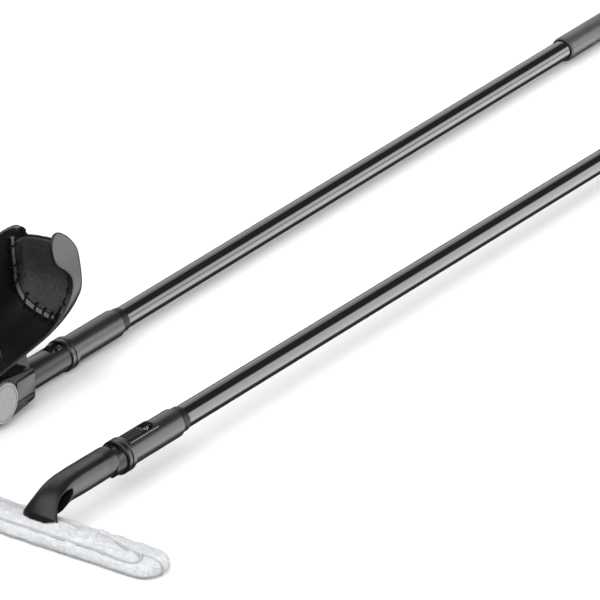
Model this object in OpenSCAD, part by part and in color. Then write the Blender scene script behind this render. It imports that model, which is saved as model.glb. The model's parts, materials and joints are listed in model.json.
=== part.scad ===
// Window cleaning pole set: two telescopic poles lying side by side on the floor.
// Pole A carries a tilting cradle for a hand-held window vacuum.
// Pole B carries a gooseneck wiper head with a microfibre pad.
// Each pole is drawn along its own axis: y = 0 where the head meets the connector,
// +Y towards the hand grip, +Z up. The set stands on z = 0, centred on its bounding box.

/* [Poles] */
// Radius of the inner tube
inner_r = 11; // [10.5:0.5:11.5]
// Radius of the outer tube
outer_r = 12; // [11.9:0.05:12.2]
// Length of inner tube seen between connector and twist sleeve
exposed_len = 830; // [600:10:900]
// How far the inner tube slides into the outer tube
slide_travel = 770; // [400:10:770]
// Radius of the hand grip and of the connector flange
grip_r = 16; // [15:0.5:17]
// Length of the hand grip
grip_len = 140; // [100:5:180]
// Length of the twist sleeve
sleeve_len = 95; // [80:5:110]

/* [Layout] */
// Sideways distance from pole A to pole B at the heads
b_across = 179; // [175:1:260]
// How far pole B's connector lies ahead of pole A's
b_ahead = 164; // [100:1:200]
// Angle that pole B is splayed outwards
b_splay = 1.25; // [0:0.05:3]

/* [Cradle] */
// Half the outside width of the cradle
cradle_half_w = 35; // [33:0.5:36]
// Wall thickness of the cradle
cradle_wall = 2.8; // [2.4:0.1:3.2]
// Distance from the tilt hinge back to the outside of the heel
heel_back = 134; // [130:1:136]
// Distance from the tilt hinge forward to the toe
toe_front = 82; // [70:1:90]
// Height of the cradle's underside above the tilt hinge
cradle_base = 22.5; // [22:0.5:24]
// Angle that the cradle is set nose-down
cradle_pitch = 7.4; // [2:0.1:8]

/* [Hinge] */
// Distance of the tilt hinge ahead of the connector
hinge_ahead = 129; // [125:1:135]
// Height of the tilt hinge above the pole axis
hinge_up = 10; // [8:0.5:12]
// Radius of the tilt button
button_r = 19.5; // [18:0.5:20]

/* [Wiper] */
// Length of the microfibre pad
pad_len = 266; // [240:2:300]
// Front-to-back depth of the pad
pad_depth = 42; // [40:1:46]
// How far the pad's centre line lies ahead of the connector
pad_ahead = 113; // [112:1:116]
// Depth of the pad's underside below the pole axis
pad_drop = 30; // [28:0.5:32]
// Thickness of the pad
pad_thick = 19.5; // [19:0.5:22]

/* [Hidden] */
$fn = 96;

black = [0.08, 0.08, 0.085];
satin = [0.16, 0.16, 0.165];
rubber = [0.11, 0.11, 0.115];
silver = [0.66, 0.66, 0.67];
steel = [0.6, 0.6, 0.62];
white = [0.93, 0.94, 0.95];

fit = 0.05;                     // radial clearance of a running fit
inner_wall = 0.9;
outer_wall = 0.8;
outer_bore = outer_r - outer_wall;

// Stations along a pole
flange_len = 6;
body_r = 13.7;
body_end = 81;
bush_len = 9.5;
bush_r = 12;
window_start = 6;
window_end = 46;
window_w = 13;
spigot_len = 28;
spigot_r = 10.1;
tube_start = 48;
sleeve_start = body_end + bush_len + exposed_len;
sleeve_r = 13.5;
collet_r = 12.6;
collet_start = sleeve_start + 4;
collet_len = 38;
outer_start = collet_start + 14;
inner_end = sleeve_start + 100;
plug_len = 12;
cap_spigot = 14;
end_gap = 22;                   // left inside the outer tube when the pole is closed
outer_end = inner_end + plug_len + slide_travel + end_gap + cap_spigot;
hang_hole_r = 5;
hang_tab_t = 8;
hang_ahead = 24;                // hang hole's distance behind the tube's end
latch_travel = 10.4;

// Pole B leans down from its pad to its grip
pad_back = pad_ahead - pad_depth / 2;
pad_front = pad_ahead + pad_depth / 2;
b_pitch = atan((pad_drop - grip_r) / (outer_end + pad_back));
b_height = pad_drop * cos(b_pitch) - pad_back * sin(b_pitch);

// The bounding box, for centring
set_left = -cradle_half_w;
set_right = b_across + (pad_len / 2 - pad_depth / 2) * cos(b_splay) - pad_ahead * sin(b_splay)
    + pad_depth / 2;
set_front = -b_ahead - pad_ahead * cos(b_splay) - (pad_len / 2 - pad_depth / 2) * sin(b_splay)
    - pad_depth / 2;
set_back = outer_end + hang_ahead + hang_hole_r + 5;
centre_x = (set_left + set_right) / 2;
centre_y = (set_front + set_back) / 2;

module at_pole_a() {
    translate([-centre_x, -centre_y, grip_r]) children();
}

module at_pole_b() {
    translate([b_across - centre_x, -b_ahead - centre_y, b_height])
        rotate([-b_pitch, 0, -b_splay]) children();
}

// The hinge axis is the origin of everything that tilts with the cradle
module at_hinge() {
    at_pole_a() translate([0, -hinge_ahead, hinge_up]) children();
}

module at_cradle() {
    at_hinge() rotate([cradle_pitch, 0, 0]) children();
}

// ---- helpers ----

// A cylinder along +Y from y = a to y = b
module rod(a, b, r) {
    translate([0, a, 0]) rotate([-90, 0, 0]) cylinder(r = r, h = b - a);
}

// A tapered cylinder along +Y
module taper(a, b, r_a, r_b) {
    translate([0, a, 0]) rotate([-90, 0, 0]) cylinder(r1 = r_a, r2 = r_b, h = b - a);
}

module pipe(a, b, r, bore) {
    difference() {
        rod(a, b, r);
        rod(a - 1, b + 1, bore);
    }
}

// A cylinder along +X from x = a to x = b
module barrel(a, b, r) {
    translate([a, 0, 0]) rotate([0, 90, 0]) cylinder(r = r, h = b - a);
}

// Extrudes an outline drawn in (y, z) across x = a to x = b
module across(a, b) {
    translate([a, 0, 0]) rotate([90, 0, 90]) linear_extrude(b - a) children();
}

// Joins rings of points, clockwise as seen from the first ring, into one closed skin
module loft(rings) {
    n = len(rings[0]);
    last = (len(rings) - 1) * n;
    points = [for (ring = rings) for (p = ring) p];
    sides = [for (k = [0 : len(rings) - 2]) for (i = [0 : n - 1])
        [k * n + i, (k + 1) * n + i, (k + 1) * n + (i + 1) % n, k * n + (i + 1) % n]];
    start_cap = [[for (i = [0 : n - 1]) i]];
    end_cap = [[for (i = [n - 1 : -1 : 0]) last + i]];
    polyhedron(points, concat(start_cap, sides, end_cap), convexity = 6);
}

// A helical compression spring along +Y, closed by its own flat ends
module coil(a, b, r, wire_r, turns) {
    steps = 14;
    sides = 6;
    run = b - a - 2 * wire_r;
    rings = [for (k = [0 : turns * steps])
        let (t = 360 * k / steps, y = a + wire_r + run * k / (turns * steps))
        [for (j = [0 : sides - 1])
            let (w = 360 * j / sides, q = r + wire_r * cos(w))
            [q * sin(t), y + wire_r * sin(w), q * cos(t)]]];
    loft(rings);
}

// Points of a cubic curve
function curve(p, q, s, t, n = 8) = [for (k = [0 : n]) let (u = k / n, v = 1 - u)
    v * v * v * p + 3 * v * v * u * q + 3 * v * u * u * s + u * u * u * t];

// ---- pole pieces ----

module outer_tube() {
    color(black) pipe(outer_start, outer_end, outer_r, outer_bore);
}

module hand_grip() {
    ring_gap = 14;
    start = outer_end - grip_len;
    color(rubber) difference() {
        union() {
            rod(start + 6, outer_end, grip_r);
            taper(start, start + 6, outer_r + 1.2, grip_r);
        }
        rod(start - 1, outer_end + 1, outer_r);
        for (y = [start + 20 : ring_gap : outer_end - 20])
            difference() {
                rod(y, y + 1.6, grip_r + 1);
                rod(y - 1, y + 3, grip_r - 0.9);
            }
    }
}

module end_cap() {
    tip = outer_end + hang_ahead;
    color(satin) difference() {
        union() {
            rod(outer_end - cap_spigot, outer_end, outer_bore - fit);
            rod(outer_end, outer_end + 6, grip_r);
            taper(outer_end + 6, outer_end + 10, grip_r, grip_r - 4);
            translate([-hang_tab_t / 2, outer_end + 8, -10]) cube([hang_tab_t, hang_ahead - 8, 20]);
            translate([0, tip, 0]) barrel(-hang_tab_t / 2, hang_tab_t / 2, hang_hole_r + 5);
        }
        translate([0, tip, 0]) barrel(-hang_tab_t, hang_tab_t, hang_hole_r);
    }
}

module lock_collet() {
    color(satin) difference() {
        rod(collet_start, collet_start + collet_len, collet_r);
        rod(collet_start - 1, outer_start, inner_r + fit);
        rod(outer_start, collet_start + collet_len + 1, outer_r);
        for (a = [45 : 90 : 315]) rotate([0, a, 0])
            translate([inner_r - 2, collet_start - 1, -0.6]) cube([6, 10, 1.2]);
    }
}

module twist_sleeve() {
    mouth = 3;
    lip = 3.6;
    arrow_y = sleeve_start + 28;
    color(satin) difference() {
        union() {
            rod(sleeve_start + mouth, sleeve_start + sleeve_len, sleeve_r);
            taper(sleeve_start, sleeve_start + mouth, sleeve_r - 1, sleeve_r);
        }
        rod(sleeve_start - 1, sleeve_start + lip + 1, inner_r + 0.4);
        rod(sleeve_start + lip, collet_start + collet_len + 1, collet_r + fit);
        rod(collet_start + collet_len, sleeve_start + sleeve_len + 1, outer_r + 0.4);
        for (a = [0 : 30 : 330]) rotate([0, a, 0])
            translate([-0.5, sleeve_start + 50, sleeve_r - 0.4]) cube([1, 38, 2]);
        rotate([0, 60, 0]) translate([-0.5, arrow_y, sleeve_r - 0.35]) cube([1, 12, 2]);
    }
}

module inner_tube() {
    color(black) pipe(tube_start, inner_end, inner_r, inner_r - inner_wall);
}

module guide_plug() {
    color(satin) difference() {
        union() {
            rod(inner_end, inner_end + plug_len, outer_bore - fit);
            rod(inner_end - 14, inner_end, inner_r - inner_wall);
        }
        rod(inner_end - 15, inner_end + plug_len + 1, 6);
        for (y = [inner_end + 3, inner_end + 8])
            difference() {
                rod(y, y + 1.2, outer_r);
                rod(y - 1, y + 3, outer_bore - 1);
            }
    }
}

module tube_bush() {
    color(black) pipe(body_end, body_end + bush_len, bush_r, inner_r);
}

// Connector on the inner tube's front end, with its latch window on top
module connector() {
    groove = 1;
    color(satin) difference() {
        union() {
            taper(0.3, 1, grip_r - 0.7, grip_r);
            rod(1, flange_len - 1, grip_r);
            taper(flange_len - 1, flange_len, grip_r, grip_r - 1);
            rod(flange_len - 2, body_end - 2, body_r);
            taper(body_end - 2, body_end, body_r, body_r - 0.9);
            latch_hood();
        }
        rod(-1, tube_start - 1, spigot_r + fit);
        rod(tube_start - 2, body_end + 1, inner_r);
        latch_window();
        translate([-3.3, -1, 11.2 - groove]) cube([6.6, 8, 3]);
    }
}

// Raised rails beside the latch window
module latch_hood() {
    intersection() {
        translate([-window_w / 2 - 1.4, flange_len - 1, 0])
            cube([window_w + 2.8, window_end - flange_len + 3, 14.6]);
        rod(flange_len - 1, window_end + 4, body_r + 1);
    }
}

module latch_window() {
    run = window_end - window_start - window_w / 2;
    translate([0, window_start + run, 7]) cylinder(d = window_w, h = 10);
    translate([-window_w / 2, window_start, 7]) cube([window_w, run, 10]);
}

// Thumb slide: pulled back, its tongue leaves the head's keeper recess
module latch_slide() {
    w = 10.4;
    top = 14.2;
    rib = 1.3;
    pitch = 3.6;
    sole = 10.4;
    tongue_tip = 0.4 - latch_travel;
    color(black) union() {
        translate([-w / 2, 8, sole]) cube([w, 24, top - 0.6 - sole]);
        for (y = [9.5 : pitch : 28]) translate([-w / 2 + 1, y, sole]) cube([w - 2, rib, top - sole]);
        translate([-w / 2, 29, sole]) cube([w, 3, top - sole]);
        translate([-3, 30.5, 12.6]) cube([6, 3.5, 0.9]);
        translate([-4, 30, 7.2]) cube([8, 1.6, 4]);
        translate([-2.8, tongue_tip, 10.8]) cube([5.6, 9 - tongue_tip, 1.8]);
    }
}

module latch_spring() {
    color(steel) translate([0, 0, 9.9]) coil(32.3, window_end - 0.7, 2, 0.35, 3);
}

// Spigot, flange and socket shared by both heads
module head_socket(end, r) {
    rod(-flange_len, spigot_len, spigot_r);
    taper(-flange_len, -flange_len + 1, grip_r - 1, grip_r);
    rod(-flange_len + 1, -1, grip_r);
    taper(-1, -0.3, grip_r, grip_r - 0.7);
    rod(-end, -flange_len + 1, r);
}

// Recesses that the latch tongue enters; the head fits either way up
module keeper_recesses() {
    recess_len = 21;
    for (side = [0, 180]) rotate([0, side, 0]) {
        translate([-7, -flange_len - recess_len, 9.6]) cube([14, recess_len, 8]);
        translate([-3.3, -flange_len - 1, 10.2]) cube([6.6, flange_len + 2, 3.4]);
    }
}

// Jaws on each side of the tongue
module keeper_jaws(r) {
    intersection() {
        rod(-flange_len - 11, -flange_len - 4, r);
        for (side = [0, 180]) for (x = [-6.9, 3.4]) rotate([0, side, 0])
            translate([x, -flange_len - 12, 9]) cube([3.5, 9, r]);
    }
}

// ---- pole A head ----

yoke_in = 14;
yoke_out = 27;
axle_r = 4;

// Adapter: spigot, socket, and the two arms that carry the tilt hinge
module hinge_yoke() {
    socket_r = 14.2;
    arm_back = 49;
    color(satin) difference() {
        union() {
            translate([0, hinge_ahead, -hinge_up]) head_socket(hinge_ahead - 38, socket_r);
            translate([-yoke_out + 2, 30, -14]) cube([2 * yoke_out - 4, arm_back - 33, 17.5]);
            across(-yoke_out, -yoke_in) yoke_arm(arm_back);
            across(yoke_in, yoke_out) yoke_arm(arm_back);
        }
        barrel(-yoke_out - 1, yoke_out, axle_r + fit);
        barrel(yoke_out - 5, yoke_out + 1, button_r + 0.3);
        barrel(yoke_out - 9.5, yoke_out + 1, 8);
        barrel(-yoke_out - 1, -yoke_out + 3, 9);
        translate([0, hinge_ahead, -hinge_up]) {
            keeper_recesses();
            rod(-60, spigot_len + 1, 6);
        }
        // parting grooves along each arm
        for (x = [-yoke_out, yoke_out]) for (z = [-9, 12])
            translate([x - 0.5, 22, z]) cube([1, arm_back - 22 + 1, 0.8]);
    }
    color(satin) translate([0, hinge_ahead, -hinge_up]) keeper_jaws(socket_r + 0.8);
}

// Side view of an arm: the hub and a narrower tail that grips the socket
module yoke_arm(back) {
    corner = 4;
    hull() {
        circle(r = button_r + 1.8);
        translate([back - corner, 16 - corner]) circle(r = corner);
        translate([back - corner, -15 + corner]) circle(r = corner);
    }
}

module hinge_axle() {
    color(steel) union() {
        barrel(-yoke_out + 0.2, yoke_out - 9.8, axle_r);
        barrel(-yoke_out + 0.2, -yoke_out + 2.6, axle_r + 3);
    }
}

module hinge_cap() {
    color(satin) difference() {
        union() {
            barrel(-yoke_out - 1.6, -yoke_out, 11);
            barrel(-yoke_out - 0.1, -yoke_out + 3, 8.95);
        }
        barrel(-yoke_out, -yoke_out + 4, 7.2);
    }
}

// Round button in the near arm; pressed in, it frees the tilt
module tilt_button() {
    face = yoke_out + 3.4;
    color(silver) difference() {
        union() {
            barrel(yoke_out - 6.5, yoke_out - 1, axle_r);
            barrel(yoke_out - 1.2, face - 0.8, button_r);
            translate([face - 0.8, 0, 0]) rotate([0, 90, 0]) cylinder(r1 = button_r, r2 = button_r - 0.8, h = 0.8);
        }
        difference() {
            barrel(face - 0.5, face + 1, button_r - 2.6);
            barrel(face - 1, face + 1, button_r - 3.3);
        }
    }
}

module tilt_spring() {
    color(steel) rotate([0, 0, -90]) coil(yoke_out - 9.3, yoke_out - 1.4, 5.6, 0.5, 3);
}

// Knuckle under the cradle that turns on the axle, with a long tail above the socket
module tilt_bracket() {
    w = yoke_in - 1.3;
    knuckle_r = 13;
    top = cradle_base - 0.05;
    tail = 61;
    color(black) difference() {
        union() {
            barrel(-w, w, knuckle_r);
            across(-w, w) hull() {
                circle(r = knuckle_r);
                translate([-24, top - 3]) square([24, 3]);
                translate([0, 2]) square([20, top - 2]);
            }
            across(-w, w) polygon([[0, 0.5], [tail, 0.5], [tail - 4, top + 2.2], [30, top], [0, top]]);
        }
        barrel(-w - 1, w + 1, axle_r + fit);
        tub(0, ear_top);
        at_bracket_screws(cradle_base - 6.1) cylinder(r = bracket_screw_r + 0.1, h = 10);
    }
}

module friction_washers() {
    t = 1;
    color(steel) for (side = [-1, 1])
        difference() {
            barrel(side > 0 ? yoke_in - 1.3 : -yoke_in + 0.3, side > 0 ? yoke_in - 0.3 : -yoke_in + 1.3, 11);
            barrel(-yoke_in, yoke_in, axle_r + fit);
        }
}

// The outline of the cradle's underside: height and half-width at each station,
// for a skin shrunk by t
heel_run = 81;
heel_rise = 44;
heel_corner = 13;
toe_run = 45;
toe_rise = 34;
function ramp(d, run) = min(1, max(0, d / run));
function arc_drop(u, p) = 1 - pow(max(0, 1 - pow(u, p)), 1 / p);
function base_z(y, t) = cradle_base + t
    + (heel_rise - t) * arc_drop(ramp(y - heel_back + heel_run, heel_run - t), 2.4)
    + toe_rise * arc_drop(ramp(-toe_front + toe_run - y, toe_run - t), 2);
function half_w(y, t) = (cradle_half_w - t)
    * (1.02 - arc_drop(ramp(y - heel_back + heel_corner, heel_corner - t), 2.2))
    * (1.02 - arc_drop(ramp(-toe_front + toe_run - y, toe_run - t), 2.2)) / 1.04;

// One closed station of the tub: a U with a flat top at height top_z
function tub_ring(y, t, top_z) = let (w = half_w(y, t), z0 = base_z(y, t), r = 30, q = 0.65, n = 12)
    concat([[w, y, top_z]],
        [for (k = [0 : n]) let (a = 90 * k / n, c = pow(cos(a), q), s = pow(sin(a), q))
            [w * c, y, z0 + r * (1 - s)]],
        [for (k = [n - 1 : -1 : 0]) let (a = 90 * k / n, c = pow(cos(a), q), s = pow(sin(a), q))
            [-w * c, y, z0 + r * (1 - s)]],
        [[-w, y, top_z]]);

// The tub's solid, shrunk by t on every side
module tub(t, top_z) {
    front = -toe_front + t;
    back = heel_back - t;
    n = 30;
    function station(k) = let (u = k / n, s = (1 - cos(180 * u)) / 2) front + (back - front) * (0.35 * s + 0.65 * u);
    loft([for (k = [0 : n]) tub_ring(min(max(station(k), front + 0.05), back - 0.05), t, top_z)]);
}

// Side view of what is cut away above the cradle's walls: (y, z) outlines
ear_top = 124;
back_top = 94;
near_edge = concat(
    curve([100.5, ear_top], [96, ear_top], [91.5, 122], [89, 116.5]),
    curve([89, 116.5], [86.5, 109.5], [86, 99.5], [93, 92]),
    curve([93, 92], [101, 84], [108, 77.5], [108, 69.5]),
    curve([108, 69.5], [108, 62], [100, 52], [90, 44]),
    curve([90, 44], [82, 37.5], [74, 30], [58, 30]));
far_edge = concat(
    curve([heel_back + 1, back_top - 1], [129, 97], [127, 106], [114, 109.5]),
    curve([114, 109.5], [104, 112], [96, 112.5], [86, 112]),
    curve([86, 112], [40, 109], [-10, 100], [-toe_front - 1, 48]));
near_rear_edge = concat(
    curve([134.6, 62], [129.5, 76], [127.5, 84], [125, 95]),
    curve([125, 95], [121.5, 105], [112, 120.5], [100.5, ear_top]));

module near_cut() {
    polygon(concat(near_edge, [[-toe_front - 5, 30], [-toe_front - 5, 140], [100.5, 140]]));
}

module far_cut() {
    polygon(concat(far_edge, [[-toe_front - 5, 150], [heel_back + 1, 150]]));
}

module near_rear_cut() {
    polygon(concat([[heel_back + 5, 60]], near_rear_edge, [[100.4, 150], [heel_back + 5, 150]]));
}

module cradle_cuts() {
    across(0, 60) near_cut();
    across(-60, 0) far_cut();
    across(20, 60) near_rear_cut();
    // between the ears the back wall stops lower
    translate([-cradle_half_w + 7, 100, back_top]) cube([2 * cradle_half_w - 14, 52, 60]);
}

module cradle_shell() {
    color(satin) difference() {
        tub(0, ear_top + 3);
        tub(cradle_wall, ear_top + 20);
        cradle_cuts();
        at_bracket_screws(cradle_base - 1) cylinder(r = bracket_screw_r + 0.1, h = cradle_wall + 2);
    }
}

liner_front = 103.5;
liner_t = 1.6;
seam_skew = 13.8;

// A slab across the trough from y = a to y = b of the seam, which runs askew
module seam_slab(a, b, top) {
    translate([0, liner_front, 0]) rotate([0, 0, -seam_skew])
        translate([-60, a, 0]) cube([120, b - a, top]);
}

module heel_liner() {
    color(rubber) difference() {
        intersection() {
            tub(cradle_wall + 0.05, ear_top);
            seam_slab(0, 60, back_top - 1);
        }
        tub(cradle_wall + liner_t, ear_top + 20);
        across(0, 60) offset(delta = 1.5) near_cut();
        across(19, 60) offset(delta = 1.5) near_rear_cut();
        across(-60, 7 - cradle_half_w) offset(delta = 1.5) far_cut();
    }
}

// U-shaped bead where the liner meets the trough
module seam_trim() {
    color(satin) difference() {
        intersection() {
            tub(cradle_wall + 0.05, ear_top);
            seam_slab(-3, -0.1, back_top + 4);
        }
        tub(cradle_wall + 2.4, ear_top + 20);
        translate([0, liner_front - 20, 46]) cube([60, 30, 80]);
    }
}

bracket_screw_r = 1.6;

module at_bracket_screws(z) {
    for (y = [-15, 34]) translate([0, y, z]) children();
}

module bracket_screws() {
    color(steel) {
        at_bracket_screws(cradle_base - 6) cylinder(r = bracket_screw_r, h = 6.1 + cradle_wall);
        at_bracket_screws(cradle_base + cradle_wall + 0.09) cylinder(r = 3.4, h = 2);
    }
}

// ---- pole B head ----

neck_up = 2.4;
neck_r = 12.8;
neck_bend = 43;
neck_angle = 50;
neck_straight = 78;

// One rounded station of the neck at path position u (0 to 1)
function neck_ring(u) = let (
        turn = neck_angle * max(0, (u - 0.45) / 0.55),
        run = u < 0.45 ? 16 + (neck_straight - 16) * u / 0.45 : neck_straight,
        y = -run - neck_bend * sin(turn),
        z = neck_up - neck_bend * (1 - cos(turn)),
        grow = max(0, (u - 0.35) / 0.65),
        a = neck_r + 6.2 * grow * grow,
        b = neck_r - 4.6 * grow)
    [for (k = [0 : 35]) let (w = 10 * k, c = cos(w), s = sin(w), p = 1 - 0.15 * grow,
            q = b * sign(s) * pow(abs(s), p))
        [a * sign(c) * pow(abs(c), p), y - q * sin(turn), z + q * cos(turn)]];

plate_top = -pad_drop + 12;
foot_ahead = neck_straight + neck_bend * sin(neck_angle);

module wiper_neck() {
    color(satin) difference() {
        union() {
            head_socket(20, body_r);
            difference() {
                loft(concat([for (k = [0 : 20]) neck_ring(k / 20)],
                    [[for (p = neck_ring(1)) p - [0, 1.5, 6]]]));
                translate([-40, -foot_ahead - 60, plate_top - 40]) cube([80, 100, 40]);
            }
            foot(-foot_ahead);
        }
        at_plate_screws(-1) cylinder(r = 1.6, h = 3.4);
        // side openings in the bend, with a web between them
        for (x = [1, -30]) across(x, x + 29) side_opening();
        rod(-40, spigot_len + 1, 6);
        keeper_recesses();
    }
    color(satin) keeper_jaws(body_r + 0.3);
}

// Side view of an opening: an arch that follows the bend down to the shoe
module side_opening() {
    front = curve([-84, 6], [-96, 8], [-108, 0], [-111, -14.7]);
    rear = curve([-100, -14.7], [-95, -6], [-83, -3], [-83, 4]);
    polygon(concat(front, rear));
}

// Flat shoe that the neck stands on
module foot(y) {
    translate([0, y, plate_top]) hull()
        for (x = [-15, 15]) for (d = [-5, 6])
            translate([x, d, 0]) cylinder(r = 4, h = 3, $fn = 32);
}

plate_t = 4.5;
plate_end_r = 12;

module wiper_plate() {
    half = pad_len / 2 - 14 - plate_end_r;
    color(black) difference() {
        translate([0, -pad_ahead, plate_top - plate_t]) {
            translate([-half, -plate_end_r, 0]) cube([2 * half, 2 * plate_end_r, plate_t]);
            for (x = [-half, half]) translate([x, 0, 0]) cylinder(r = plate_end_r, h = plate_t);
        }
        at_plate_screws(-plate_t - 1) cylinder(r = 1.6, h = plate_t + 2);
        at_plate_screws(-plate_t - 1) cylinder(r = 3.2, h = 2.6);
    }
}

module at_plate_screws(z) {
    for (x = [-11, 11]) translate([x, -foot_ahead, plate_top + z]) children();
}

module plate_screws() {
    color(steel) {
        at_plate_screws(-plate_t + 0.2) cylinder(r = 3, h = 1.4);
        at_plate_screws(-plate_t + 1.5) cylinder(r = 1.55, h = plate_t + 0.8);
    }
}

module hook_strips() {
    strip_len = 104;
    strip_w = 20;
    color(rubber) for (side = [-1, 1])
        translate([side * 66 - strip_len / 2, -pad_ahead - strip_w / 2, plate_top - plate_t - 0.9])
            cube([strip_len, strip_w, 0.85]);
}

// The pad: a rounded slab with a pocket for the plate and a slot for the neck
module microfibre_pad() {
    edge = 9;
    half = pad_len / 2 - pad_depth / 2;
    color(white) difference() {
        translate([0, -pad_ahead, -pad_drop]) hull() for (x = [-half, half]) translate([x, 0, 0]) {
            translate([0, 0, edge / 2]) cylinder(r = pad_depth / 2, h = pad_thick - edge, $fn = 48);
            cylinder(r = pad_depth / 2 - edge / 2, h = pad_thick, $fn = 48);
        }
        translate([0, -pad_ahead, plate_top - plate_t - 1.2]) hull() for (x = [-half, half])
            translate([x, 0, 0]) cylinder(r = plate_end_r + 0.6, h = plate_t + 2, $fn = 48);
        translate([-21, -foot_ahead - 11, plate_top - 1]) cube([42, 26, 30]);
    }
}

at_pole_a() outer_tube();  // a_outer_tube
at_pole_a() hand_grip();  // a_hand_grip
at_pole_a() end_cap();  // a_end_cap
at_pole_a() lock_collet();  // a_lock_collet
at_pole_a() twist_sleeve();  // a_twist_sleeve
at_pole_a() inner_tube();  // a_inner_tube
at_pole_a() guide_plug();  // a_guide_plug
at_pole_a() tube_bush();  // a_tube_bush
at_pole_a() rotate([0, 180, 0]) connector();  // a_connector
at_pole_a() rotate([0, 180, 0]) latch_slide();  // a_latch_slide
at_pole_a() rotate([0, 180, 0]) latch_spring();  // a_latch_spring
at_hinge() hinge_yoke();
at_hinge() hinge_axle();
at_hinge() hinge_cap();
at_hinge() tilt_button();
at_hinge() tilt_spring();
at_cradle() tilt_bracket();
at_cradle() friction_washers();
at_cradle() bracket_screws();
at_cradle() cradle_shell();
at_cradle() heel_liner();
at_cradle() seam_trim();
at_pole_b() outer_tube();  // b_outer_tube
at_pole_b() hand_grip();  // b_hand_grip
at_pole_b() end_cap();  // b_end_cap
at_pole_b() lock_collet();  // b_lock_collet
at_pole_b() twist_sleeve();  // b_twist_sleeve
at_pole_b() inner_tube();  // b_inner_tube
at_pole_b() guide_plug();  // b_guide_plug
at_pole_b() tube_bush();  // b_tube_bush
at_pole_b() connector();  // b_connector
at_pole_b() latch_slide();  // b_latch_slide
at_pole_b() latch_spring();  // b_latch_spring
at_pole_b() wiper_neck();
at_pole_b() wiper_plate();
at_pole_b() plate_screws();
at_pole_b() hook_strips();
at_pole_b() microfibre_pad();
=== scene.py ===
import json
import math

import bmesh
import bpy
import numpy as np
from mathutils import Matrix, Vector


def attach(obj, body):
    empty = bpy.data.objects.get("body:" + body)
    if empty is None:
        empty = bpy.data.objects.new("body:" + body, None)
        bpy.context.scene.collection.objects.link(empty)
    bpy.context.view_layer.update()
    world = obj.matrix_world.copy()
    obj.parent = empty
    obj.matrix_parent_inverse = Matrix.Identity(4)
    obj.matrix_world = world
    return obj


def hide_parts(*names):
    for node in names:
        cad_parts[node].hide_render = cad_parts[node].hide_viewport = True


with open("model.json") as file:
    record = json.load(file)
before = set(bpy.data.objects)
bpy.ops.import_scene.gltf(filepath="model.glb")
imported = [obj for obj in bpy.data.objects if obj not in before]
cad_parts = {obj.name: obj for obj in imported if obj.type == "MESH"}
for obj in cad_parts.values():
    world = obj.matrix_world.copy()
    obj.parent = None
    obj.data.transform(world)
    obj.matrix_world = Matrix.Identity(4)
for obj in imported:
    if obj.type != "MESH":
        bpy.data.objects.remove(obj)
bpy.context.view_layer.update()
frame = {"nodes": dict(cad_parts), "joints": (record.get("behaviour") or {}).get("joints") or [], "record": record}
NODES = frame["nodes"]
JOINTS = {j["name"]: j for j in frame["joints"]}
MOUNTS = {m["name"]: m for m in frame["record"]["mounts"]}
MM = 0.001
SEED = 7
FINE_ROUND = 0.35
ROUND_FROM = 35  # degrees: sharper edges than this are rounded

# ---- frames ----

CRADLE_PITCH = 7.4
HOOK_Y = 1862.5  # pole B's hang hole behind the face of its connector
hinge = Vector(JOINTS["cradle_tilt"]["pos_m"])
AT_HINGE = Matrix.Translation(hinge)
AT_CRADLE = AT_HINGE @ Matrix.Rotation(math.radians(CRADLE_PITCH), 4, "X")


def pole_b_frame():
    hook = MOUNTS["b_hang_hole"]
    y = Vector(JOINTS["pole_b_extend"]["axis"]).normalized()
    x = Vector(hook["axis"]).normalized()
    m = Matrix((x, y, x.cross(y))).transposed().to_4x4()
    m.translation = Vector(hook["pos_m"]) - y * HOOK_Y * MM
    return m


AT_POLE_B = pole_b_frame()

# ---- camera ----

# Fitted to the photograph's two poles, with the inner tube's diameter as the scale
AZIMUTH, ELEVATION = math.radians(33.013), math.radians(24.539)
SENSOR, LENS = 36, 257.48
EYE = Vector((2.127306, -2.745118, 1.674437))  # metres from the cradle's hinge
back = Vector(
    (
        math.sin(AZIMUTH) * math.cos(ELEVATION),
        -math.cos(AZIMUTH) * math.cos(ELEVATION),
        math.sin(ELEVATION),
    )
)
right = Vector((math.cos(AZIMUTH), math.sin(AZIMUTH), 0))
camera = bpy.data.objects.new("camera", bpy.data.cameras.new("camera"))
bpy.context.scene.collection.objects.link(camera)
bpy.context.scene.camera = camera
camera.data.sensor_width = SENSOR
camera.data.lens = LENS
camera.data.clip_end = 100
view = Matrix((right, back.cross(right), back)).transposed().to_4x4()
view.translation = hinge + EYE
camera.matrix_world = view

# ---- node helpers ----


def add(tree, kind, **values):
    node = tree.nodes.new(kind)
    for key, value in values.items():
        if key in node.inputs:
            node.inputs[key].default_value = value
        else:
            setattr(node, key, value)
    return node


def math_node(tree, operation, a, b=None):
    node = add(tree, "ShaderNodeMath", operation=operation)
    for i, value in enumerate((a, b)):
        if value is None:
            continue
        if hasattr(value, "links"):
            tree.links.new(value, node.inputs[i])
        else:
            node.inputs[i].default_value = value
    return node.outputs[0]


def step_up(tree, value, start, end):
    """0 below start, 1 above end, smooth between."""
    node = add(tree, "ShaderNodeMapRange", interpolation_type="SMOOTHSTEP")
    tree.links.new(value, node.inputs["Value"])
    node.inputs["From Min"].default_value = start
    node.inputs["From Max"].default_value = end
    return node.outputs[0]


# ---- materials ----


def material(name, colour, roughness, **sockets):
    m = bpy.data.materials.new(name)
    m.use_nodes = True
    shader = m.node_tree.nodes["Principled BSDF"]
    shader.inputs["Base Color"].default_value = (*colour, 1)
    shader.inputs["Roughness"].default_value = roughness
    for key, value in sockets.items():
        shader.inputs[key.replace("_", " ")].default_value = value
    return m, m.node_tree, shader


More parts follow.
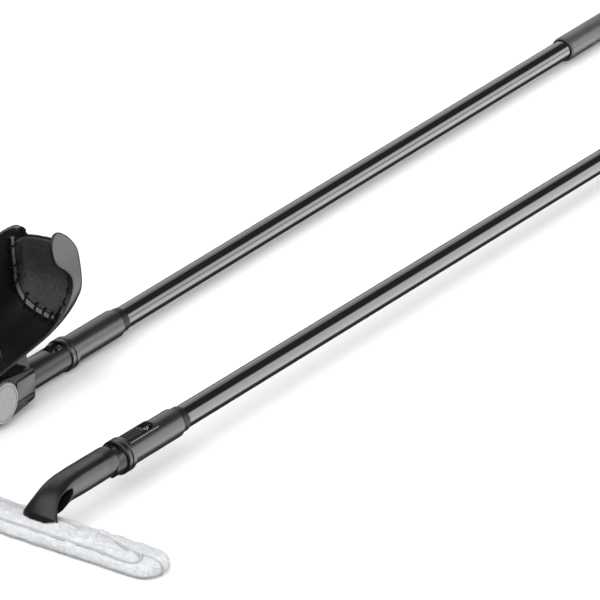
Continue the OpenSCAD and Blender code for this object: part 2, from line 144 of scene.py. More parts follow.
def coords(tree, scale=(1, 1, 1)):
    position = add(tree, "ShaderNodeTexCoord").outputs["Object"]
    mapping = add(tree, "ShaderNodeMapping")
    mapping.inputs["Scale"].default_value = scale
    tree.links.new(position, mapping.inputs["Vector"])
    return mapping.outputs[0]


def noise(tree, where, scale, detail=3, roughness=0.5):
    node = add(tree, "ShaderNodeTexNoise", Scale=scale, Detail=detail, Roughness=roughness)
    tree.links.new(where, node.inputs["Vector"])
    return node.outputs["Fac"]


def bump(tree, shader, height, strength, distance):
    node = add(tree, "ShaderNodeBump", Strength=strength, Distance=distance)
    tree.links.new(height, node.inputs["Height"])
    tree.links.new(node.outputs[0], shader.inputs["Normal"])


def vary_colour(tree, shader, factor, low, high):
    ramp = add(tree, "ShaderNodeValToRGB")
    ramp.color_ramp.elements[0].position = 0.3
    ramp.color_ramp.elements[1].position = 0.7
    ramp.color_ramp.elements[0].color = (*low, 1)
    ramp.color_ramp.elements[1].color = (*high, 1)
    tree.links.new(factor, ramp.inputs[0])
    tree.links.new(ramp.outputs[0], shader.inputs["Base Color"])


def vary_roughness(tree, shader, factor, low, high):
    node = add(tree, "ShaderNodeMapRange")
    node.inputs["From Min"].default_value = 0.3
    node.inputs["From Max"].default_value = 0.7
    node.inputs["To Min"].default_value = low
    node.inputs["To Max"].default_value = high
    tree.links.new(factor, node.inputs["Value"])
    tree.links.new(node.outputs[0], shader.inputs["Roughness"])


def moulded(name, colour, roughness, grain=900, strength=0.12, spread=0.2, specular=0.5):
    """Moulded plastic: fine spark-eroded grain and a slow variation in gloss."""
    m, tree, shader = material(name, colour, roughness, Specular_IOR_Level=specular)
    where = coords(tree)
    fine = noise(tree, where, grain, 2)
    slow = noise(tree, where, 35, 3)
    dark = tuple(c * (1 - spread) for c in colour)
    light = tuple(c * (1 + spread) for c in colour)
    vary_colour(tree, shader, slow, dark, light)
    vary_roughness(tree, shader, fine, roughness * 0.88, roughness * 1.12)
    bump(tree, shader, fine, strength, 0.00012)
    return m


def lacquered_tube():
    """Gloss black lacquer with the faint orange peel and dust of a sprayed tube."""
    m, tree, shader = material("black_lacquer", (0.006, 0.006, 0.0065), 0.1)
    where = coords(tree, (1, 0.25, 1))
    slow = noise(tree, where, 60, 2)
    fine = noise(tree, where, 2200, 2)
    vary_roughness(tree, shader, slow, 0.09, 0.13)
    peel = math_node(tree, "ADD", slow, math_node(tree, "MULTIPLY", fine, 0.12))
    bump(tree, shader, peel, 0.05, 0.0002)
    return m


def leather_liner():
    m, tree, shader = material("leather_liner", (0.012, 0.012, 0.013), 0.5)
    where = coords(tree)
    cells = add(tree, "ShaderNodeTexVoronoi", Scale=620, feature="DISTANCE_TO_EDGE")
    tree.links.new(where, cells.inputs["Vector"])
    crease = step_up(tree, cells.outputs["Distance"], 0.0, 0.25)
    mottle = noise(tree, where, 420, 5, 0.7)
    vary_colour(tree, shader, mottle, (0.01, 0.01, 0.0105), (0.042, 0.042, 0.044))
    vary_roughness(tree, shader, mottle, 0.62, 0.4)
    height = math_node(tree, "ADD", crease, mottle)
    bump(tree, shader, height, 0.55, 0.0006)
    return m


def brushed(name, colour, roughness, direction):
    m, tree, shader = material(name, colour, roughness, Metallic=1.0)
    lines = noise(tree, coords(tree, direction), 900, 4, 0.7)
    dark = tuple(c * 0.8 for c in colour)
    vary_colour(tree, shader, lines, dark, tuple(min(1, c * 1.15) for c in colour))
    vary_roughness(tree, shader, lines, roughness * 0.8, roughness * 1.2)
    bump(tree, shader, lines, 0.12, 0.0001)
    return m


def satin_silver():
    """Silver paint over plastic: mostly matt, with a fine mottle."""
    m, tree, shader = material("satin_silver", (0.2, 0.2, 0.205), 0.45, Metallic=0.1)
    mottle = noise(tree, coords(tree), 500, 4, 0.7)
    vary_colour(tree, shader, mottle, (0.15, 0.15, 0.153), (0.23, 0.23, 0.235))
    vary_roughness(tree, shader, mottle, 0.4, 0.5)
    bump(tree, shader, mottle, 0.08, 0.0001)
    return m


def microfibre(name, colour, shade):
    m, tree, shader = material(name, colour, 0.95, Sheen_Weight=0.25, Sheen_Roughness=0.6)
    where = coords(tree)
    clumps = noise(tree, where, 260, 5, 0.65)
    vary_colour(tree, shader, clumps, shade, colour)
    pile = noise(tree, where, 1500, 3, 0.7)
    bump(tree, shader, math_node(tree, "ADD", clumps, pile), 0.5, 0.0012)
    return m


LACQUER = lacquered_tube()
SATIN = moulded("satin_grey", (0.013, 0.013, 0.0135), 0.34, specular=0.38)
DARK_SATIN = moulded("dark_satin", (0.007, 0.007, 0.0075), 0.38, specular=0.12)
GLOSS = moulded("gloss_black", (0.007, 0.007, 0.0075), 0.16, 400, 0.03, specular=0.035)
SLEEVE = moulded("sleeve_grey", (0.04, 0.04, 0.041), 0.42, 1500, 0.3)
GRIP = moulded("grip_rubber", (0.014, 0.014, 0.0145), 0.6, 700, 0.4)
CRADLE = moulded("cradle_black", (0.006, 0.0062, 0.0065), 0.33, 1200, 0.06, specular=0.3)
NECK = moulded("neck_black", (0.008, 0.0078, 0.0073), 0.3, 1600, 0.02, specular=0.24)
RIBBON = moulded("ribbon_grey", (0.1, 0.1, 0.102), 0.5, 1300, 0.4)
PANEL = moulded("panel_satin", (0.02, 0.02, 0.0205), 0.3, 900, 0.05, specular=0.2)
HOOK = moulded("hook_tape", (0.02, 0.02, 0.021), 0.85, 1500, 0.9)
LEATHER = leather_liner()
SILVER = satin_silver()
STEEL = brushed("spring_steel", (0.55, 0.55, 0.57), 0.3, (1, 1, 1))
PILE = microfibre("microfibre_pile", (0.7, 0.715, 0.735), (0.6, 0.613, 0.635))
THREAD = microfibre("seam_thread", (0.42, 0.42, 0.43), (0.34, 0.34, 0.35))

# ---- mesh helpers ----


def new_mesh(name, verts, faces):
    mesh = bpy.data.meshes.new(name)
    mesh.from_pydata([tuple(v) for v in verts], [], faces)
    mesh.validate()
    mesh.update()
    return mesh


def scratch(verts, faces):
    """A temporary object in millimetres, for booleans."""
    o = bpy.data.objects.new("scratch", new_mesh("scratch", verts, faces))
    bpy.context.scene.collection.objects.link(o)
    return o


def band_faces(rows, n):
    """Quads between successive closed rings of n points."""
    return [
        (k * n + i, k * n + (i + 1) % n, (k + 1) * n + (i + 1) % n, (k + 1) * n + i)
        for k in range(rows - 1)
        for i in range(n)
    ]


def loft(rings):
    """Closed skin over rings of equal length, ends capped."""
    n = len(rings[0])
    verts = [p for ring in rings for p in ring]
    faces = band_faces(len(rings), n)
    last = (len(rings) - 1) * n
    faces.append(tuple(range(n - 1, -1, -1)))
    faces.append(tuple(last + i for i in range(n)))
    return verts, faces


def fixed_normals(o):
    bm = bmesh.new()
    bm.from_mesh(o.data)
    bmesh.ops.remove_doubles(bm, verts=bm.verts, dist=1e-5)
    bmesh.ops.recalc_face_normals(bm, faces=bm.faces)
    bm.to_mesh(o.data)
    bm.free()
    return o


def prism(outline, a, b):
    """An outline in (y, z) extruded across x = a to b."""
    return fixed_normals(scratch(*loft([[(x, y, z) for y, z in outline] for x in (a, b)])))


def block(lo, hi):
    outline = [(lo[1], lo[2]), (hi[1], lo[2]), (hi[1], hi[2]), (lo[1], hi[2])]
    return prism(outline, lo[0], hi[0])


def apply_modifiers(o):
    graph = bpy.context.evaluated_depsgraph_get()
    mesh = bpy.data.meshes.new_from_object(o.evaluated_get(graph))
    o.modifiers.clear()
    o.data = mesh
    return o


def cut(o, *tools, operation="DIFFERENCE"):
    for tool in tools:
        mod = o.modifiers.new("cut", "BOOLEAN")
        mod.operation = operation
        mod.object = tool
        mod.solver = "EXACT"
        apply_modifiers(o)
        bpy.data.objects.remove(tool)
    return o


def soften(o, voxel, rounds, keep=1.0):
    """Remeshes a hard-edged solid and rounds its edges."""
    mod = o.modifiers.new("remesh", "REMESH")
    mod.mode = "VOXEL"
    mod.voxel_size = voxel
    apply_modifiers(o)
    mod = o.modifiers.new("smooth", "SMOOTH")
    mod.factor = 0.5
    mod.iterations = rounds
    apply_modifiers(o)
    if keep < 1:
        mod = o.modifiers.new("thin_out", "DECIMATE")
        mod.ratio = keep
        apply_modifiers(o)
    return o


def bevel(o, width, segments=2, angle=None):
    mod = o.modifiers.new("round", "BEVEL")
    mod.width = width
    mod.segments = segments
    if angle:
        mod.limit_method = "ANGLE"
        mod.angle_limit = math.radians(angle)


def place(o, name, matrix, body, mat, smooth=True):
    """Turns a millimetre object into a named piece in the row frame."""
    o.name = name
    o.data.name = name
    o.data.transform(matrix @ Matrix.Scale(MM, 4))
    if smooth:
        o.data.polygons.foreach_set("use_smooth", [True] * len(o.data.polygons))
    o.data.materials.clear()
    o.data.materials.append(mat)
    o.data.update()
    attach(o, body)
    return o


def tube(points, radius, sides=8, closed=False):
    """A round tube along points; radius is a number or one per point."""
    points = [Vector(p) for p in points]
    n = len(points)
    radii = radius if hasattr(radius, "__len__") else [radius] * n
    verts, faces = [], []
    normal = None
    for i, p in enumerate(points):
        a = points[(i - 1) % n] if closed or i > 0 else p
        b = points[(i + 1) % n] if closed or i < n - 1 else p
        along = (b - a).normalized()
        if normal is None:
            normal = along.orthogonal().normalized()
        normal = (normal - along * normal.dot(along)).normalized()
        side = along.cross(normal)
        for k in range(sides):
            w = 2 * math.pi * k / sides
            verts.append(p + (normal * math.cos(w) + side * math.sin(w)) * radii[i])
    for i in range(n if closed else n - 1):
        j = (i + 1) % n
        for k in range(sides):
            m = (k + 1) % sides
            faces.append((i * sides + k, i * sides + m, j * sides + m, j * sides + k))
    if not closed:
        faces.append(tuple(range(sides - 1, -1, -1)))
        faces.append(tuple((n - 1) * sides + k for k in range(sides)))
    return verts, faces


def joined(parts):
    verts, faces = [], []
    for v, f in parts:
        start = len(verts)
        verts += list(v)
        faces += [tuple(i + start for i in face) for face in f]
    return verts, faces


def curve(p, q, s, t, n=20):
    """Points of a cubic curve."""
    p, q, s, t = (np.array(v, float) for v in (p, q, s, t))
    out = []
    for k in range(n + 1):
        u = k / n
        v = 1 - u
        out.append(tuple(v**3 * p + 3 * v * v * u * q + 3 * v * u * u * s + u**3 * t))
    return out


def resample(points, count):
    points = np.array([tuple(p) for p in points], float)
    step = np.r_[0, np.cumsum(np.linalg.norm(np.diff(points, axis=0), axis=1))]
    at = np.linspace(0, step[-1], count)
    return np.stack([np.interp(at, step, points[:, i]) for i in range(points.shape[1])], 1)


# ---- cradle ----

WIDTH, WALL = 35.0, 2.8
HEEL, TOE, FLOOR = 134.0, 82.0, 22.5
EAR_TOP, BACK_TOP = 124.0, 94.0
SEAM_Y, SEAM_SKEW = 102.5, 13.8
CURL, CURL_FROM, CURL_RUN = 4.5, 70.0, 50.0
SKIN_R, SKIN_Q = 30.0, 0.65
HEEL_RUN, HEEL_RISE, HEEL_CORNER = 81.0, 44.0, 13.0
TOE_RUN, TOE_RISE = 45.0, 34.0


def ramp(d, run):
    return min(1.0, max(0.0, d / run))


def arc_drop(u, p):
    return 1 - max(0.0, 1 - u**p) ** (1 / p)


def base_z(y, t):
    heel = (HEEL_RISE - t) * arc_drop(ramp(y - HEEL + HEEL_RUN, HEEL_RUN - t), 2.4)
    toe = TOE_RISE * arc_drop(ramp(-TOE + TOE_RUN - y, TOE_RUN - t), 2)
    return FLOOR + t + heel + toe


def half_w(y, t):
    heel = 1.02 - arc_drop(ramp(y - HEEL + HEEL_CORNER, HEEL_CORNER - t), 2.2)
    toe = 1.02 - arc_drop(ramp(-TOE + TOE_RUN - y, TOE_RUN - t), 2.2)
    return (WIDTH - t) * heel * toe / 1.04


def skin(y, t, a, side):
    """A point of the trough's round: a is 0 at the wall and 90 at the keel."""
    c, s = math.cos(math.radians(a)), math.sin(math.radians(a))
    return (
        side * half_w(y, t) * c**SKIN_Q,
        y,
        base_z(y, t) + SKIN_R * (1 - s**SKIN_Q),
    )


def tub(t, top, stations=90, steps=30):
    front, rear = -TOE + t, HEEL - t
    rings = []
    for k in range(stations + 1):
        u = k / stations
        s = (1 - math.cos(math.pi * u)) / 2
        y = front + (rear - front) * (0.35 * s + 0.65 * u)
        y = min(max(y, front + 0.05), rear - 0.05)
        angles = [90 * (i / steps) ** 0.8 for i in range(steps + 1)]
        ring = [(half_w(y, t), y, top)]
        ring += [skin(y, t, a, 1) for a in angles]
        ring += [skin(y, t, a, -1) for a in reversed(angles[:-1])]
        ring += [(-half_w(y, t), y, top)]
        rings.append(ring)
    return fixed_normals(scratch(*loft(rings)))


NEAR_EDGE = (
    curve((100.5, EAR_TOP), (96, EAR_TOP), (91.5, 122), (89, 116.5))
    + curve((89, 116.5), (86.5, 109.5), (86, 99.5), (93, 92))[1:]
    + curve((93, 92), (101, 84), (108, 77.5), (108, 69.5))[1:]
    + curve((108, 69.5), (108, 62), (100, 52), (90, 44))[1:]
    + curve((90, 44), (82, 37.5), (74, 30), (58, 30))[1:]
)
FAR_EDGE = (
    curve((HEEL + 1, BACK_TOP - 1), (129, 97), (127, 106), (114, 109.5))
    + curve((114, 109.5), (104, 112), (96, 112.5), (86, 112))[1:]
    + curve((86, 112), (40, 109), (-10, 100), (-TOE - 1, 48))[1:]
)
NEAR_REAR_EDGE = (
    curve((134.6, 62), (129.5, 76), (127.5, 84), (125, 95))
    + curve((125, 95), (121.5, 105), (112, 120.5), (100.5, EAR_TOP))[1:]
)


def edge_prism(shift):
    """What the near wall's front edge leaves open, moved back by shift."""
    outline = [(y + shift, z - 0.75 * shift) for y, z in NEAR_EDGE]
    outline += [(-TOE - 5, 30 - 0.75 * shift), (-TOE - 5, 140), (100.5 + shift, 140)]
    return prism(outline, 0, 60)


def far_prism(drop):
    outline = [(y, z - drop) for y, z in FAR_EDGE]
    return prism(outline + [(-TOE - 5, 150), (HEEL + 1, 150)], -60, 0)


def rear_prism(drop, start):
    outline = [(HEEL + 5, 60)] + [(y - 0.6 * drop, z - drop) for y, z in NEAR_REAR_EDGE]
    return prism(outline + [(100 - drop, 150), (HEEL + 5, 150)], start, 60)


def cradle_tools():
    between = block((-WIDTH + 7, 100, BACK_TOP), (WIDTH - 7, 152, 154))
    return edge_prism(0), far_prism(0), rear_prism(0, 20), between


def crown(o):
    """Curls the upper walls slightly inwards, as moulded."""
    for v in o.data.vertices:
        up = max(0.0, (v.co.z - CURL_FROM) / CURL_RUN)
        v.co.x -= v.co.x / WIDTH * CURL * up * up
    return o


def make_cradle():
    shell = cut(tub(0, EAR_TOP + 3), tub(WALL, EAR_TOP + 20), *cradle_tools())
    crown(soften(shell, 0.9, 14, 0.6))
    place(shell, "cradle_body", AT_CRADLE, "cradle", CRADLE)
    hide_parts("cradle_shell")


def make_liner():
    liner = tub(WALL + 0.1, EAR_TOP)
    behind = block((-70, 0, 0), (70, 70, BACK_TOP - 1.5))
    behind.data.transform(Matrix.Rotation(math.radians(-SEAM_SKEW), 4, "Z"))
    behind.data.transform(Matrix.Translation((0, SEAM_Y, 0)))
    cut(liner, behind, operation="INTERSECT")
    cut(liner, tub(WALL + 2.2, EAR_TOP + 20), edge_prism(1.6), far_prism(1.6), rear_prism(1.6, 18.5))
    crown(soften(liner, 0.8, 5, 0.5))
    place(liner, "heel_liner_soft", AT_CRADLE, "cradle", LEATHER)
    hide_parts("heel_liner")


def wall_x(y, z, t):
    """Half-width of the skin at height z."""
    rise = (z - base_z(y, t)) / SKIN_R
    if rise >= 1:
        return half_w(y, t)
    s = max(0.0, 1 - rise) ** (1 / SKIN_Q)
    return half_w(y, t) * max(0.0, 1 - s * s) ** (SKIN_Q / 2)


def seam_line(shift, t, count=90):
    """The U of the bead on the skin shrunk by t, moved back by shift."""
    slope = math.tan(math.radians(SEAM_SKEW))

    def seam_y(x):
        return SEAM_Y - 1.5 - slope * x + shift

    line = []
    for z in np.linspace(BACK_TOP + 6, 62, 14):
        y = seam_y(1.5 - WIDTH)
        line.append((-wall_x(y, z, t), y, z))
    for side, angles in ((-1, np.linspace(2, 90, 30)), (1, np.linspace(88, 2, 29))):
        for a in angles:
            x = skin(SEAM_Y, t, a, side)[0]
            p = skin(seam_y(x), t, a, side)
            if side < 0 or p[2] < 43:
                line.append(p)
    for y, z in ((97, 45), (102, 49), (107, 54), (110.6, 60), (112, 67), (111, 74)):
        line.append((wall_x(y + shift, z, t), y + shift, z))
    return resample(line, count)


# A clip's arch over the bead: distance along the trough and height off the wall
CLIP_ARCH = ((-5.8, 0.2), (-5, 2.6), (-2, 3.6), (2, 3.6), (5, 3.0), (6.2, 0.8))
CLIP_PLACES = (0.06, 0.19, 0.32, 0.44, 0.53, 0.6, 0.665, 0.725, 0.785, 0.845, 0.915)
CLIP_STEPS = 200


def make_trim():
    inner, outer = WALL + 2.5, WALL + 0.3
    corners = ((-2.0, outer), (-2.0, inner), (1.8, inner), (1.8, outer))
    lines = [seam_line(back, t) for back, t in corners]
    rings = [[tuple(p) for p in ring] for ring in zip(*lines)]
    ribbon = fixed_normals(scratch(*loft(rings)))
    bevel(ribbon, FINE_ROUND)
    apply_modifiers(ribbon)
    crown(ribbon)
    place(ribbon, "seam_ribbon", AT_CRADLE, "cradle", RIBBON)
    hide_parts("seam_trim")
    beads = [tube(seam_line(s, WALL + 2.1), 0.75) for s in (-2.9, 2.7)]
    beads = crown(scratch(*joined(beads)))
    place(beads, "seam_beads", AT_CRADLE, "cradle", GLOSS)
    clips = []
    lines = [seam_line(back, WALL + height, CLIP_STEPS) for back, height in CLIP_ARCH]
    for at in CLIP_PLACES:
        i = int(at * (CLIP_STEPS - 1))
        clips.append(tube(resample([line[i] for line in lines], 16), 1.0))
    clips = crown(scratch(*joined(clips)))
    place(clips, "seam_clips", AT_CRADLE, "cradle", GLOSS)


make_cradle()
make_liner()
make_trim()

# ---- pad ----

PAD_HALF, PAD_R = 110.0, 19.0
AROUND = 560
GROOVE_RUN, GROOVE_DEPTH = 2.4, 1.5
SWELL_RUN, SWELL = 8, 0.9
TUFTS, TUFT_R, TUFT_LEAN = 26000, 0.42, 0.55
TUFT_SHORT, TUFT_LONG = 0.9, 2.1
FRONT_SEAM_Y, CREST_SEAM_Y = -126.4, -102.5
PAD_Y, PAD_TOP, PAD_EDGE, PAD_BOTTOM = -112.5, -14.3, -23.5, -29.6


def pad_point(u, rho):
    """A point of the pad's dome: u runs round the outline, rho out from the crest line."""
    ring = 4 * PAD_HALF + 2 * math.pi * PAD_R
    d = (u % 1) * ring
    if d < 2 * PAD_HALF:
        foot, out = (-PAD_HALF + d, 0), (0, -1)
    elif d < 2 * PAD_HALF + math.pi * PAD_R:
        w = (d - 2 * PAD_HALF) / PAD_R - math.pi / 2
        foot, out = (PAD_HALF, 0), (math.cos(w), math.sin(w))
    elif d < 4 * PAD_HALF + math.pi * PAD_R:
        foot, out = (PAD_HALF - (d - 2 * PAD_HALF - math.pi * PAD_R), 0), (0, 1)
    else:
        w = (d - 4 * PAD_HALF - math.pi * PAD_R) / PAD_R + math.pi / 2
        foot, out = (-PAD_HALF, 0), (math.cos(w), math.sin(w))
    if rho <= 1:
        z = PAD_EDGE + (PAD_TOP - PAD_EDGE) * (1 - rho**2.4) ** (1 / 2.4)
        r = rho * PAD_R
    else:
        v = min(1.0, (rho - 1) / 0.25)
        z = PAD_EDGE + (PAD_BOTTOM - PAD_EDGE) * math.sin(v * math.pi / 2)
        tuck = 0.4 * (1 - math.cos(v * math.pi / 2))
        r = PAD_R * (1 - tuck - 0.6 * max(0.0, rho - 1.25))
    return (foot[0] + out[0] * r, PAD_Y + foot[1] + out[1] * r, z)


def dome_z(x, y):
    d = math.hypot(max(0.0, abs(x) - PAD_HALF), y - PAD_Y)
    rho = min(1.0, d / PAD_R)
    return PAD_EDGE + (PAD_TOP - PAD_EDGE) * (1 - rho**2.4) ** (1 / 2.4)


def pad_seams():
    """The front seam with its looped ends, and the crest seam that runs down both ends."""
    front = [(x, FRONT_SEAM_Y) for x in range(0, 70, 8)]
    front += curve((72, -126.6), (92, -127.2), (112.5, -131), (112, -123), 16)
    front += curve((112, -123), (111.6, -118), (108, -115.5), (104, -114.4), 8)[1:]
    crest = [(x, CREST_SEAM_Y) for x in range(0, 44, 8)]
    crest += curve((46, -102.6), (70, -103), (86, -113), (101, -114.6), 16)
    crest += curve((101, -114.6), (112, -115.6), (122, -113.4), (128.6, -112.6), 10)[1:]
    out = []
    for line in (front, crest):
        line = [(x, y, dome_z(x, y)) for x, y in line]
        if line[-1][0] > 120:
            line += [(128.9, -112.6, PAD_EDGE - 1.5), (126, -112.6, PAD_BOTTOM + 1)]
        mirror = [(-x, y, z) for x, y, z in reversed(line[1:])]
        out.append(resample(mirror + line, 420))
    return out


def make_pad():
    rng = np.random.default_rng(SEED)
    rhos = [0.0, 0.06] + [0.12 + 0.88 * k / 24 for k in range(25)]
    rhos += [1.04, 1.08, 1.13, 1.18, 1.25, 1.5, 1.9, 2.4]
    verts = np.array([pad_point(i / AROUND, r) for r in rhos for i in range(AROUND)])
    o = fixed_normals(scratch(verts, band_faces(len(rhos), AROUND)))
    mesh = o.data
    normals = np.array([v.normal[:] for v in mesh.vertices])
    verts = np.array([v.co[:] for v in mesh.vertices])
    if normals[verts[:, 2].argmax(), 2] < 0:
        mesh.flip_normals()
        normals = -normals
    seams = np.concatenate(pad_seams())
    gap = np.sqrt(((verts[:, None, :] - seams[None]) ** 2).sum(2)).min(1)
    groove = np.exp(-((gap / GROOVE_RUN) ** 2))
    swell = SWELL * (1 - np.exp(-((gap / SWELL_RUN) ** 2)))
    waves = sum(
        np.sin(verts @ rng.normal(0, 2.2 / s, 3) + rng.uniform(0, 6.28)) * 0.06 * s**0.5
        for s in (1.2, 1.6, 2.5, 4, 6, 9, 14)
        for _ in range(3)
    )
    lift = swell - GROOVE_DEPTH * groove + waves
    lift[verts[:, 2] < PAD_EDGE - 2] *= 0.15
    verts = verts + normals * lift[:, None]
    verts[:, 2] = np.maximum(verts[:, 2], PAD_BOTTOM)
    mesh.vertices.foreach_set("co", verts.ravel())
    place(o, "microfibre_pad_body", AT_POLE_B, "pole_b_inner", PILE)
    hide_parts("microfibre_pad")
    threads = scratch(*joined([tube(line + np.array([0, 0, -0.9]), 1.25) for line in pad_seams()]))
    place(threads, "pad_seam_threads", AT_POLE_B, "pole_b_inner", THREAD)
    quads = np.array([tuple(p.vertices) for p in mesh.polygons if len(p.vertices) == 4])
    make_pile(rng, verts, quads, normals, gap)


def make_pile(rng, verts, quads, normals, gap):
    """Short leaning tufts over the dome and its edge."""
    count = TUFTS
    a, b, c = verts[quads[:, 0]], verts[quads[:, 1]], verts[quads[:, 2]]
    area = np.linalg.norm(np.cross(b - a, c - a), axis=1)
    area[a[:, 2] < PAD_BOTTOM + 0.6] = 0
    area[gap[quads[:, 0]] < 1.6] *= 0.1
    pick = rng.choice(len(quads), count, p=area / area.sum())
    w = rng.random((count, 2))
    p = a[pick] + (b - a)[pick] * w[:, :1] + (verts[quads[:, 3]] - a)[pick] * w[:, 1:]
    n = normals[quads[:, 0]][pick]
    lean = rng.normal(0, TUFT_LEAN, (count, 3))
    along = n + lean + np.array([0, 0, -0.25])
    along /= np.linalg.norm(along, axis=1)[:, None]
    length = rng.uniform(TUFT_SHORT, TUFT_LONG, count)[:, None]
    tip = p + along * length
    tip[:, 2] = np.maximum(tip[:, 2], PAD_BOTTOM)
    side = np.cross(along, rng.normal(0, 1, (count, 3)))
    side /= np.linalg.norm(side, axis=1)[:, None]
    other = np.cross(along, side)
    r = TUFT_R
    base = p - n * 0.5
    ring = [
        base + side * r,
        base - side * r * 0.5 + other * r * 0.87,
        base - side * r * 0.5 - other * r * 0.87,
    ]
    points = np.stack(ring + [tip], 1).reshape(-1, 3)
    tris = []
    for k in range(count):
        q = 4 * k
        tris += [(q, q + 1, q + 3), (q + 1, q + 2, q + 3), (q + 2, q, q + 3)]
    o = scratch(points, tris)
    place(o, "pad_pile", AT_POLE_B, "pole_b_inner", PILE)


make_pad()

# ---- wiper neck ----

NECK_UP, BEND_R, BEND_DEG, STRAIGHT = 2.4, 43.0, 50.0, 78.0
NECK_START, BEND_FROM = 17, 0.45
NECK_R, NECK_WIDEN, NECK_THIN = 12.9, 6.1, 4.6
WEB, FOOT_HALF = 1.2, 18.6
SOCKET_FROM = -19.9
FOOT_Y = -STRAIGHT - BEND_R * math.sin(math.radians(BEND_DEG))


def neck_section(u, points=72):
    turn = math.radians(BEND_DEG) * max(0.0, (u - BEND_FROM) / 0.55)
    run = NECK_START + (STRAIGHT - NECK_START) * min(1.0, u / BEND_FROM)
    y = -run - BEND_R * math.sin(turn)
    z = NECK_UP - BEND_R * (1 - math.cos(turn))
    grow = max(0.0, (u - 0.35) / 0.65)
    square = min(1.0, u / 0.12) * (1 - 0.6 * max(0.0, (u - 0.6) / 0.4))
    p = 1 - 0.28 * square
    collar = 0.55 * (0.5 + 0.5 * math.cos(math.pi * min(1.0, max(0.0, (run - 19) / 14))))
    shrink = 1 - 0.035 * square
    a = (NECK_R + collar + NECK_WIDEN * grow * grow) * shrink
    b = (NECK_R + collar - NECK_THIN * grow) * shrink
    ring = []
    for k in range(points):
        w = 2 * math.pi * k / points
        c, s = math.cos(w), math.sin(w)
        x = a * math.copysign(abs(c) ** p, c)
        q = b * math.copysign(abs(s) ** p, s)
        ring.append((x, y - q * math.sin(turn), z + q * math.cos(turn)))
    return ring


def make_neck():
    rings = [neck_section(k / 60) for k in range(61)]
    rings.append([(x, y - 1.5, z - 6) for x, y, z in rings[-1]])
    neck = fixed_normals(scratch(*loft(rings)))
    opening = curve((-84, 6.5), (-96.5, 9), (-109, 0.5), (-112.5, -14.7))
    opening += curve((-100, -14.7), (-95, -6), (-83, -3), (-83, 4))
    foot = block((-FOOT_HALF, FOOT_Y - 8.6, -18.2), (FOOT_HALF, FOOT_Y + 9, -15.4))
    cut(neck, prism(opening, -40, -WEB))
    cut(neck, prism(opening, WEB, 40))
    cut(neck, block((-40, -160, -60), (40, -60, -18)))
    cut(neck, foot, operation="UNION")
    soften(neck, 0.55, 6, 0.6)
    place(neck, "wiper_gooseneck", AT_POLE_B, "pole_b_inner", NECK)
    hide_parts("wiper_neck")


def cad_slice(node, name, matrix, keep_from, mat, body, ahead=False):
    """The part of a CAD node behind (or ahead of) y = keep_from, as a new bevelled piece."""
    o = bpy.data.objects.new(name, NODES[node].data.copy())
    bpy.context.scene.collection.objects.link(o)
    bm = bmesh.new()
    bm.from_mesh(o.data)
    bm.transform(matrix.inverted())
    bm.transform(Matrix.Scale(1 / MM, 4))
    bmesh.ops.remove_doubles(bm, verts=bm.verts, dist=1e-3)
    bmesh.ops.bisect_plane(
        bm, geom=bm.verts[:] + bm.edges[:] + bm.faces[:], plane_co=(0, keep_from, 0),
        plane_no=(0, 1, 0), clear_inner=not ahead, clear_outer=ahead,
    )
    bmesh.ops.holes_fill(bm, edges=[e for e in bm.edges if e.is_boundary])
    clean = bpy.data.meshes.new(name)
    bm.to_mesh(clean)
    bm.free()
    o.data = clean
    bevel(o, FINE_ROUND, angle=ROUND_FROM)
    apply_modifiers(o)
    place(o, name, matrix, body, mat)
    o.data.set_sharp_from_angle(angle=math.radians(ROUND_FROM))
    return o


make_neck()
socket = cad_slice(
    "wiper_neck", "wiper_socket", AT_POLE_B, SOCKET_FROM, NECK, "pole_b_inner"
)
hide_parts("wiper_neck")


YOKE_SPLIT = 49.02
PANEL_LEFTS, PANEL_THICK, PANEL_ROUND = (26.4, -27.9), 1.5, 0.7


def make_yoke():
    arms = cad_slice(
        "hinge_yoke", "yoke_arms", AT_HINGE, YOKE_SPLIT, GLOSS, "pole_a_inner", True
    )
    barrel = cad_slice(
        "hinge_yoke", "yoke_socket", AT_HINGE, YOKE_SPLIT, SATIN, "pole_a_inner"
    )
    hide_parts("hinge_yoke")
    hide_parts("hinge_yoke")
    panels = []
    for x in PANEL_LEFTS:
        panel = block((x, 21, -7.6), (x + PANEL_THICK, 48.6, 11.4))
        bevel(panel, PANEL_ROUND, 4)
        apply_modifiers(panel)
        panels.append(panel)
    bm = bmesh.new()
    for panel in panels:
        bm.from_mesh(panel.data)
    bm.to_mesh(panels[0].data)
    bm.free()
    bpy.data.objects.remove(panels[1])
    place(panels[0], "yoke_side_panels", AT_HINGE, "pole_a_inner", PANEL)
    panels[0].data.set_sharp_from_angle(angle=math.radians(50))


make_yoke()


# ---- carried-over CAD nodes ----

NODE_MATERIALS = {
    "outer_tube": (LACQUER, 0), "inner_tube": (LACQUER, 0), "hand_grip": (GRIP, 0.3),
    "end_cap": (SATIN, 0.5), "lock_collet": (SATIN, 0), "twist_sleeve": (SLEEVE, 0.15),
    "guide_plug": (SATIN, 0), "tube_bush": (DARK_SATIN, 0.3), "connector": (SATIN, 0.3),
    "latch_slide": (DARK_SATIN, 0.25), "latch_spring": (STEEL, 0),
    "hinge_yoke": (GLOSS, 0.6), "hinge_axle": (STEEL, 0.2), "hinge_cap": (GLOSS, 0.4),
    "tilt_button": (SILVER, 0.2), "tilt_spring": (STEEL, 0), "tilt_bracket": (DARK_SATIN, 0.5),
    "friction_washers": (STEEL, 0), "bracket_screws": (STEEL, 0.2), "cradle_shell": (CRADLE, 0),
    "heel_liner": (LEATHER, 0), "seam_trim": (RIBBON, 0), "wiper_neck": (NECK, 0),
    "wiper_plate": (SATIN, 0.3), "plate_screws": (STEEL, 0), "hook_strips": (HOOK, 0),
    "microfibre_pad": (PILE, 0),
}
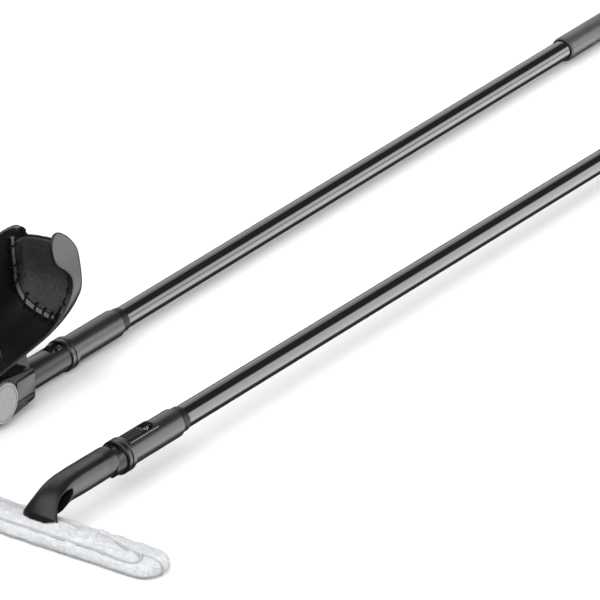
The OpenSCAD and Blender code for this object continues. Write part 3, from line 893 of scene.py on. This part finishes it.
for name, node in NODES.items():
    key = name[2:] if name[:2] in ("a_", "b_") else name
    mat, edge = NODE_MATERIALS[key]
    node.data.materials.clear()
    node.data.materials.append(mat)
    if edge:
        mod = node.modifiers.new("weld", "WELD")
        mod.merge_threshold = 1e-5
        bevel(node, edge * MM, angle=ROUND_FROM)
        node.data.polygons.foreach_set("use_smooth", [True] * len(node.data.polygons))
        mod = node.modifiers.new("normals", "WEIGHTED_NORMAL")
        mod.keep_sharp = True

# ---- studio ----


def make_floor():
    half = 30.0
    corners = [(-half, -half, 0), (half, -half, 0), (half, half, 0), (-half, half, 0)]
    floor = bpy.data.objects.new("floor", new_mesh("floor", corners, [(0, 1, 2, 3)]))
    bpy.context.scene.collection.objects.link(floor)
    floor.location.z = -0.0002
    pale = material("pale_floor", (0.9, 0.9, 0.9), 1.0, Specular_IOR_Level=0.0)[0]
    floor.data.materials.append(pale)
    floor.visible_glossy = False


def make_world():
    """Big soft boxes round the set, painted as directions on the sky, and a plain white backdrop."""
    world = bpy.data.worlds.new("studio")
    bpy.context.scene.world = world
    world.use_nodes = True
    tree = world.node_tree
    tree.nodes.clear()
    direction = add(tree, "ShaderNodeTexCoord").outputs["Generated"]
    parts = add(tree, "ShaderNodeSeparateXYZ")
    tree.links.new(direction, parts.inputs[0])
    x, y, z = parts.outputs
    angle = math_node(tree, "ARCTAN2", z, x)

    def box(low, high, soft, y_low, y_high, y_soft, power):
        """A soft box between two angles about the poles' axis and two heights along it."""
        r = math.radians
        a = step_up(tree, angle, r(low), r(low + soft))
        b = step_up(tree, angle, r(high - soft), r(high))
        c = step_up(tree, y, y_low, y_low + y_soft)
        d = step_up(tree, y, y_high - y_soft, y_high)
        value = math_node(tree, "MULTIPLY", a, math_node(tree, "SUBTRACT", 1.0, b))
        value = math_node(tree, "MULTIPLY", value, c)
        value = math_node(tree, "MULTIPLY", value, math_node(tree, "SUBTRACT", 1.0, d))
        return math_node(tree, "MULTIPLY", value, power)

    light = math_node(tree, "ADD", box(-58, 46, 14, 0.25, 0.98, 0.2, 7.5), 0.12)
    light = math_node(tree, "ADD", light, box(102, 179, 12, 0.1, 0.98, 0.2, 2.0))
    light = math_node(tree, "ADD", light, box(10, 150, 30, -0.97, -0.05, 0.15, 4.2))
    seen = add(tree, "ShaderNodeLightPath").outputs["Is Camera Ray"]
    own = math_node(tree, "MULTIPLY", light, math_node(tree, "SUBTRACT", 1.0, seen))
    total = math_node(tree, "ADD", own, seen)
    shade = add(tree, "ShaderNodeBackground")
    tree.links.new(total, shade.inputs["Strength"])
    out = add(tree, "ShaderNodeOutputWorld")
    tree.links.new(shade.outputs[0], out.inputs["Surface"])


make_floor()
make_world()
bpy.context.scene.view_settings.view_transform = "Standard"
